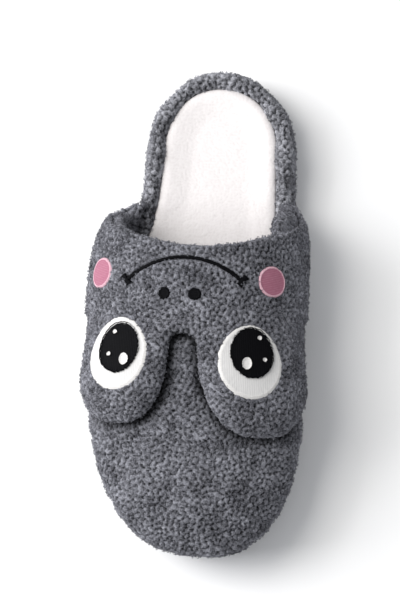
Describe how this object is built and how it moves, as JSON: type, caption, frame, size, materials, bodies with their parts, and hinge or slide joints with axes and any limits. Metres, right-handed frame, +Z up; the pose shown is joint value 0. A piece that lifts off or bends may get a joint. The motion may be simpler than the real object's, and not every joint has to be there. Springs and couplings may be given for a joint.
{
  "type": "house slipper",
  "caption": "Backless plush house slipper for the right foot: fleece upper with an animal face in embroidery, padded eye lobes, terry footbed and rolled heel rim.",
  "frame": {"origin": "on the floor under the middle of the slipper's length and width", "axes": "+Z up, -Y towards the toe, +Y towards the heel, +X towards the big-toe side"},
  "size_m": [0.12, 0.266, 0.076],
  "materials": {
    "sole_rubber": "moulded, matt",
    "grey_fleece": "curly teddy fleece",
    "white_terry": "short looped terry",
    "white_thread": "satin stitch embroidery",
    "black_thread": "satin stitch embroidery",
    "pink_thread": "satin stitch embroidery"
  },
  "bodies": {
    "root": {"outsole": "sole_rubber", "sole_wrap": "grey_fleece", "insole": "white_terry", "upper": "grey_fleece", "face_panel": "grey_fleece", "eye_white_outer": "white_thread", "eye_white_inner": "white_thread", "pupil_outer": "black_thread", "pupil_inner": "black_thread", "cheek_outer": "pink_thread", "cheek_inner": "pink_thread", "nostril_outer": "black_thread", "nostril_inner": "black_thread", "smile": "black_thread"}
  },
  "joints": []
}
